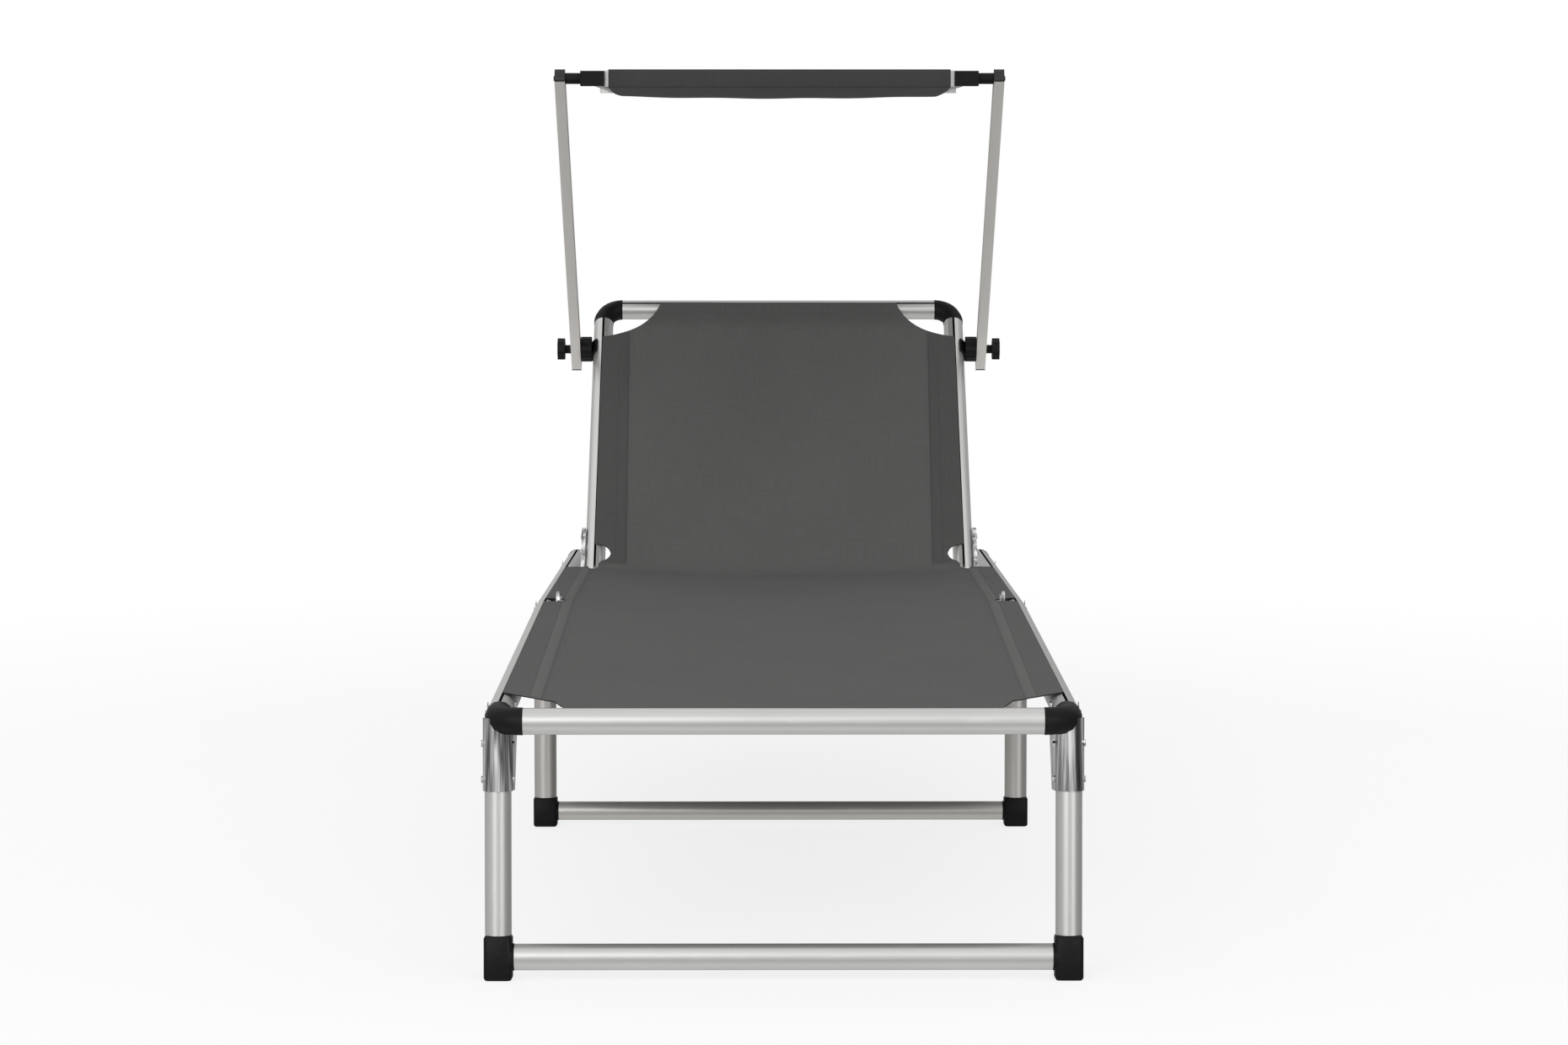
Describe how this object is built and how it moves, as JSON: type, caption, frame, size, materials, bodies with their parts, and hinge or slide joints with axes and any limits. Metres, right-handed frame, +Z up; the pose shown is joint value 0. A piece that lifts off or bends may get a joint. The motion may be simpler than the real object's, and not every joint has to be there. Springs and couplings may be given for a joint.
{
  "type": "folding sun lounger",
  "caption": "Folding sun lounger of slotted tubes with a mesh sling, a ratchet backrest and a tilting flat canopy.",
  "frame": {"origin": "on the floor, at the middle of the lounger's overall length and width", "axes": "+X to the sitter's left (right in the picture), +Y from the foot end to the head end, +Z up"},
  "size_m": [0.6016, 1.9478, 0.8908],
  "materials": {
    "tube_aluminium": "satin anodised",
    "flat_aluminium": "satin anodised",
    "bright_steel": "bright plated sheet steel",
    "black_plastic": "satin moulded",
    "sling_fabric": "woven coated mesh cloth",
    "canopy_fabric": "woven cloth"
  },
  "bodies": {
    "rear_frame": {"rear_rail_left": "tube_aluminium", "rear_rail_right": "tube_aluminium", "rear_rail_cap_left": "black_plastic", "rear_rail_cap_right": "black_plastic", "fold_hinge_rear_left": "bright_steel", "fold_hinge_rear_right": "bright_steel", "recline_cup_left": "bright_steel", "recline_cup_right": "bright_steel", "sling_seat": "sling_fabric"},
    "foot_frame": {"foot_rail_left": "tube_aluminium", "foot_rail_right": "tube_aluminium", "front_elbow_left": "black_plastic", "front_elbow_right": "black_plastic", "fold_hinge_front_left": "bright_steel", "fold_hinge_front_right": "bright_steel", "front_rail": "tube_aluminium", "sling_foot": "sling_fabric"},
    "front_legs": {"front_leg_left": "tube_aluminium", "front_leg_right": "tube_aluminium", "front_leg_bracket_left": "bright_steel", "front_leg_bracket_right": "bright_steel", "front_foot_left": "black_plastic", "front_foot_right": "black_plastic", "front_crossbar": "tube_aluminium"},
    "middle_legs": {"middle_leg_left": "tube_aluminium", "middle_leg_right": "tube_aluminium", "middle_leg_bracket_left": "bright_steel", "middle_leg_bracket_right": "bright_steel", "middle_foot_left": "black_plastic", "middle_foot_right": "black_plastic", "middle_crossbar": "tube_aluminium"},
    "rear_legs": {"rear_leg_left": "tube_aluminium", "rear_leg_right": "tube_aluminium", "rear_leg_bracket_left": "bright_steel", "rear_leg_bracket_right": "bright_steel", "rear_foot_left": "black_plastic", "rear_foot_right": "black_plastic", "rear_crossbar": "tube_aluminium"},
    "backrest": {"recline_arm_left": "bright_steel", "recline_arm_right": "bright_steel", "backrest_tube_left": "tube_aluminium", "backrest_tube_right": "tube_aluminium", "backrest_elbow_left": "black_plastic", "backrest_elbow_right": "black_plastic", "canopy_clamp_left": "black_plastic", "canopy_clamp_right": "black_plastic", "backrest_top_rail": "tube_aluminium", "sling_back": "sling_fabric"},
    "canopy_arms": {"canopy_arm_left": "flat_aluminium", "canopy_arm_right": "flat_aluminium"},
    "canopy_top": {"canopy_connector_left": "black_plastic", "canopy_connector_right": "black_plastic", "canopy_side_bar_left": "flat_aluminium", "canopy_side_bar_right": "flat_aluminium", "canopy_front_bar": "flat_aluminium", "canopy_rear_bar": "flat_aluminium", "canopy_roof": "canopy_fabric"},
    "knob_left": {"clamp_knob_left": "black_plastic"},
    "knob_right": {"clamp_knob_right": "black_plastic"}
  },
  "joints": [
    {"name": "seat_fold", "type": "hinge", "parent": "rear_frame", "child": "foot_frame", "pos_m": [0, -0.06885, 0.268], "axis": [-1, 0, 0], "range_deg": [0, 110]},
    {"name": "front_legs_fold", "type": "hinge", "parent": "foot_frame", "child": "front_legs", "pos_m": [0, -0.88384, 0.248], "axis": [1, 0, 0], "range_deg": [0, 90]},
    {"name": "middle_legs_fold", "type": "hinge", "parent": "rear_frame", "child": "middle_legs", "pos_m": [0, -0.01885, 0.24634], "axis": [1, 0, 0], "range_deg": [0, 90]},
    {"name": "rear_legs_fold", "type": "hinge", "parent": "rear_frame", "child": "rear_legs", "pos_m": [0, 0.62316, 0.22504], "axis": [-1, 0, 0], "range_deg": [0, 90]},
    {"name": "backrest_recline", "type": "hinge", "parent": "rear_frame", "child": "backrest", "pos_m": [0, 0.44116, 0.22408], "axis": [1, 0, 0], "range_deg": [-43, 18]},
    {"name": "canopy_arms_tilt", "type": "hinge", "parent": "backrest", "child": "canopy_arms", "pos_m": [0, 0.73722, 0.51504], "axis": [1, 0, 0], "range_deg": [-60, 30]},
    {"name": "canopy_top_tilt", "type": "hinge", "parent": "canopy_arms", "child": "canopy_top", "pos_m": [0, 0.32881, 0.87893], "axis": [-1, 0, 0], "range_deg": [-45, 20]},
    {"name": "knob_left_turn", "type": "hinge", "parent": "backrest", "child": "knob_left", "pos_m": [0, 0.73722, 0.51504], "axis": [1, 0, 0], "range_deg": [-180, 180]},
    {"name": "knob_right_turn", "type": "hinge", "parent": "backrest", "child": "knob_right", "pos_m": [0, 0.73722, 0.51504], "axis": [1, 0, 0], "range_deg": [-180, 180]}
  ]
}
